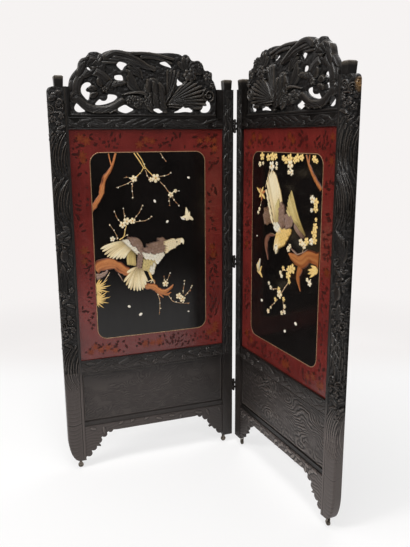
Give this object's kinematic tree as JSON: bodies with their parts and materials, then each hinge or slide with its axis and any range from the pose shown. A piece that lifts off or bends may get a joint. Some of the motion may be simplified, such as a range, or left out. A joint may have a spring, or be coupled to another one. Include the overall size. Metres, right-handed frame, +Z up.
{
  "type": "folding screen",
  "caption": "Freestanding room divider of two hinged leaves with carved frames, lacquered inlaid pictures, pierced crests and swivelling casters.",
  "frame": {"origin": "on the floor under the middle of the standing screen's box", "axes": "+Z up; the two leaves stand in a V that opens towards -Y; the hinge line lies in the YZ plane, towards +Y"},
  "size_m": [1.187, 0.5414, 1.75],
  "materials": {
    "ebonised_wood": "carved hardwood, stained black and rubbed to a low sheen",
    "red_lacquer": "red-brown lacquer on board, glossy, with small painted leaves",
    "black_lacquer": "black lacquer on board, glossy",
    "gold_line": "thin raised line, dull gilt",
    "bone": "carved bone and shell, polished",
    "inlay_wood": "carved orange-brown wood, oiled",
    "dark_iron": "blackened iron",
    "aged_brass": "cast brass, dark with age"
  },
  "bodies": {
    "left_leaf": {"left_outer_post": "ebonised_wood", "left_hinge_post": "ebonised_wood", "left_top_rail": "ebonised_wood", "left_mid_rail": "ebonised_wood", "left_bottom_rail": "ebonised_wood", "left_apron": "ebonised_wood", "left_lower_panel": "ebonised_wood", "left_border_board": "red_lacquer", "left_picture_panel": "black_lacquer", "left_gold_line": "gold_line", "left_back_board": "black_lacquer", "left_crest": "ebonised_wood", "left_crest_uprights": "ebonised_wood", "left_outer_finial": "ebonised_wood", "left_hinge_finial": "ebonised_wood", "left_bone_inlay": "bone", "left_wood_inlay": "inlay_wood", "left_hinge_plates": "dark_iron", "left_hinge_screws": "dark_iron", "left_caster_plates": "aged_brass", "hinge_pins": "dark_iron"},
    "right_leaf": {"right_outer_post": "ebonised_wood", "right_hinge_post": "ebonised_wood", "right_top_rail": "ebonised_wood", "right_mid_rail": "ebonised_wood", "right_bottom_rail": "ebonised_wood", "right_apron": "ebonised_wood", "right_lower_panel": "ebonised_wood", "right_border_board": "red_lacquer", "right_picture_panel": "black_lacquer", "right_gold_line": "gold_line", "right_back_board": "black_lacquer", "right_crest": "ebonised_wood", "right_crest_uprights": "ebonised_wood", "right_outer_finial": "ebonised_wood", "right_hinge_finial": "ebonised_wood", "right_bone_inlay": "bone", "right_wood_inlay": "inlay_wood", "right_hinge_plates": "dark_iron", "right_hinge_screws": "dark_iron", "right_caster_plates": "aged_brass"},
    "left_outer_caster": {"left_outer_fork": "aged_brass", "left_outer_axle": "dark_iron"},
    "left_outer_wheel": {"left_outer_wheel": "aged_brass"},
    "left_inner_caster": {"left_inner_fork": "aged_brass", "left_inner_axle": "dark_iron"},
    "left_inner_wheel": {"left_inner_wheel": "aged_brass"},
    "right_outer_caster": {"right_outer_fork": "aged_brass", "right_outer_axle": "dark_iron"},
    "right_outer_wheel": {"right_outer_wheel": "aged_brass"},
    "right_inner_caster": {"right_inner_fork": "aged_brass", "right_inner_axle": "dark_iron"},
    "right_inner_wheel": {"right_inner_wheel": "aged_brass"}
  },
  "joints": [
    {"name": "fold", "type": "hinge", "parent": "left_leaf", "child": "right_leaf", "pos_m": [0, 0.24274, 0.876], "axis": [0, 0, 1], "range_deg": [-95, 85]},
    {"name": "left_outer_swivel", "type": "hinge", "parent": "left_leaf", "child": "left_outer_caster", "pos_m": [-0.53931, -0.21889, 0.031], "axis": [0, 0, 1], "continuous": true},
    {"name": "left_outer_roll", "type": "hinge", "parent": "left_outer_caster", "child": "left_outer_wheel", "pos_m": [-0.54521, -0.2243, 0.0115], "axis": [-0.6756, 0.7373, 0], "continuous": true},
    {"name": "left_inner_swivel", "type": "hinge", "parent": "left_leaf", "child": "left_inner_caster", "pos_m": [-0.04165, 0.23713, 0.031], "axis": [0, 0, 1], "continuous": true},
    {"name": "left_inner_roll", "type": "hinge", "parent": "left_inner_caster", "child": "left_inner_wheel", "pos_m": [-0.04755, 0.23173, 0.0115], "axis": [-0.6756, 0.7373, 0], "continuous": true},
    {"name": "right_outer_swivel", "type": "hinge", "parent": "right_leaf", "child": "right_outer_caster", "pos_m": [0.53931, -0.21889, 0.031], "axis": [0, 0, 1], "continuous": true},
    {"name": "right_outer_roll", "type": "hinge", "parent": "right_outer_caster", "child": "right_outer_wheel", "pos_m": [0.54521, -0.2243, 0.0115], "axis": [0.6756, 0.7373, 0], "continuous": true},
    {"name": "right_inner_swivel", "type": "hinge", "parent": "right_leaf", "child": "right_inner_caster", "pos_m": [0.04165, 0.23713, 0.031], "axis": [0, 0, 1], "continuous": true},
    {"name": "right_inner_roll", "type": "hinge", "parent": "right_inner_caster", "child": "right_inner_wheel", "pos_m": [0.04755, 0.23173, 0.0115], "axis": [0.6756, 0.7373, 0], "continuous": true}
  ]
}
